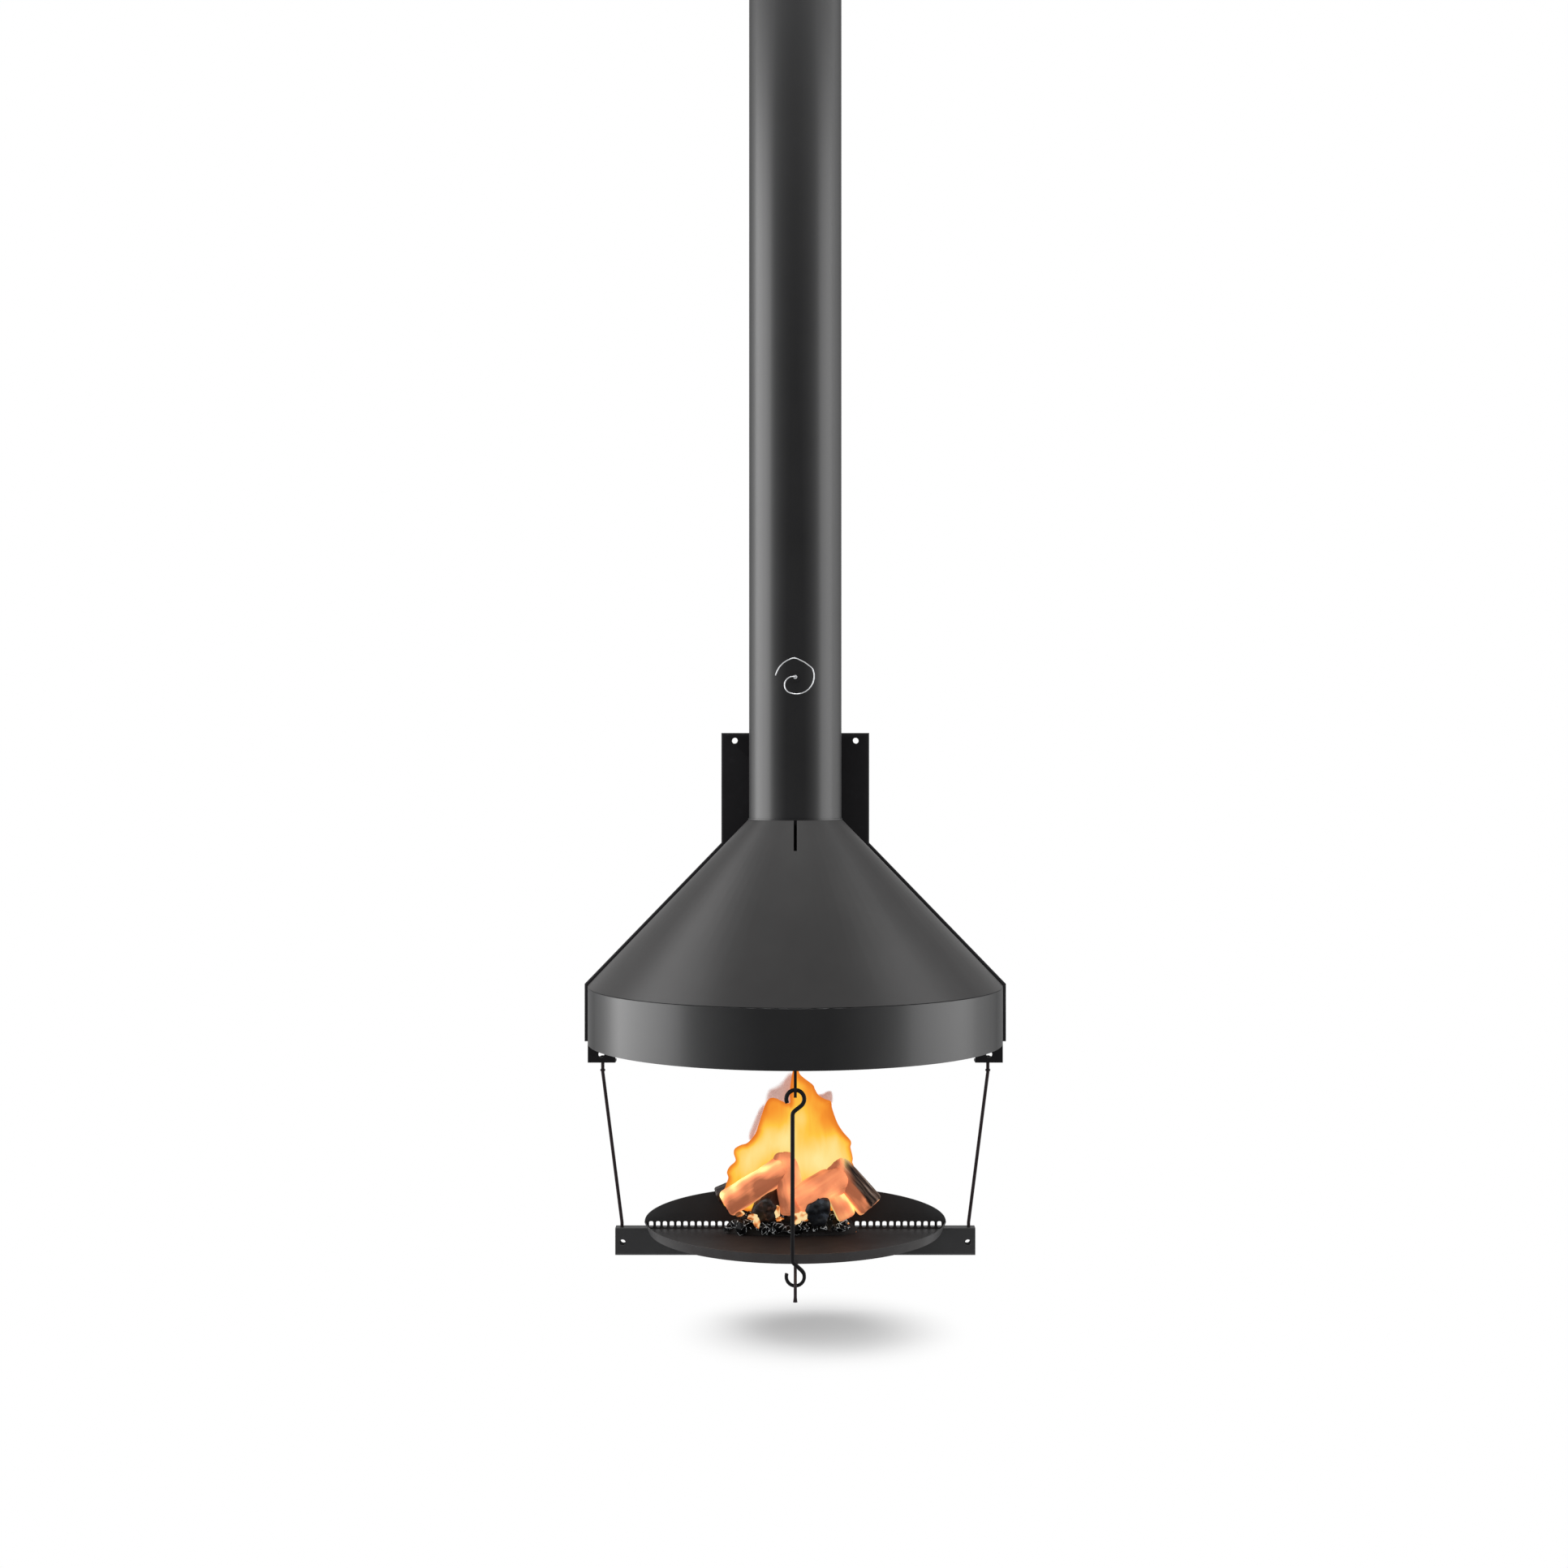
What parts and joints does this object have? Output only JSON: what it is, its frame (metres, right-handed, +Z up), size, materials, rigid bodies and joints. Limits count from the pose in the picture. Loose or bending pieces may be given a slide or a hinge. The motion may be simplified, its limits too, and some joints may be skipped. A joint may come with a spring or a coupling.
{
  "type": "hanging fireplace",
  "caption": "Wall-hung open fireplace: half-round hood with flue and damper, and a half-round hearth pan carried by a wall rail and slender hanging rods.",
  "frame": {"origin": "on the wall, midway between the two upper screw holes", "axes": "-Y points from the wall into the room, +X to the viewer's right, +Z up"},
  "size_m": [0.9354, 0.4838, 2.7719],
  "materials": {
    "flue_steel": "satin grey heat-resistant coat",
    "hood_steel": "satin grey heat-resistant coat",
    "black_steel": "matt black heat-resistant coat",
    "rod_steel": "dark brown oxide",
    "hearth_steel": "dark grey, dulled by heat",
    "bright_steel": "plain bright steel",
    "split_wood": "split log, burning",
    "bark_wood": "log with bark",
    "charcoal": "charred wood and ash"
  },
  "bodies": {
    "wall_frame": {"flue_pipe": "flue_steel", "flue_spigot": "black_steel", "hood_crown": "hood_steel", "hood_cone": "hood_steel", "hood_band": "hood_steel", "hood_back_plate": "black_steel", "hood_hook": "black_steel", "left_bracket": "black_steel", "left_bracket_bolt_upper": "black_steel", "left_bracket_nut_upper": "black_steel", "left_bracket_bolt_lower": "black_steel", "left_bracket_nut_lower": "black_steel", "left_rod": "rod_steel", "left_rod_nut_upper": "black_steel", "left_rod_nut_lower": "black_steel", "left_rod_ferrule": "rod_steel", "right_bracket": "black_steel", "right_bracket_bolt_upper": "black_steel", "right_bracket_nut_upper": "black_steel", "right_bracket_bolt_lower": "black_steel", "right_bracket_nut_lower": "black_steel", "right_rod": "rod_steel", "right_rod_nut_upper": "black_steel", "right_rod_nut_lower": "black_steel", "right_rod_ferrule": "rod_steel", "hearth_rail": "hearth_steel", "hearth_arm": "rod_steel", "arm_nut_inner": "black_steel", "damper_bush_front": "flue_steel", "damper_bush_rear": "flue_steel"},
    "damper": {"damper_spindle": "bright_steel", "damper_disc": "black_steel", "damper_screw_front": "bright_steel", "damper_screw_rear": "bright_steel", "damper_handle": "bright_steel", "damper_collar": "bright_steel"},
    "front_rod": {"front_rod": "black_steel"},
    "pan": {"pan_floor": "hearth_steel", "pan_lip": "hearth_steel", "pan_upstand": "hearth_steel", "pan_hook_left": "hearth_steel", "pan_hook_right": "hearth_steel", "log_charred_left": "charcoal", "log_charred_right": "charcoal", "log_back": "bark_wood", "log_left": "split_wood", "log_right": "bark_wood", "log_slab": "split_wood", "log_middle": "split_wood", "log_kindling": "split_wood", "ember_bed": "charcoal"}
  },
  "joints": [
    {"name": "damper_turn", "type": "hinge", "parent": "wall_frame", "child": "damper", "pos_m": [0, -0.131, 0.129], "axis": [0, 1, 0], "range_deg": [0, 90]},
    {"name": "front_rod_sway", "type": "hinge", "parent": "wall_frame", "child": "front_rod", "pos_m": [0, -0.452, -0.708], "axis": [1, 0, 0], "range_deg": [-2, 2]},
    {"name": "pan_lift", "type": "slide", "parent": "wall_frame", "child": "pan", "axis": [0, 0, 1], "range_m": [0, 0.1]}
  ]
}
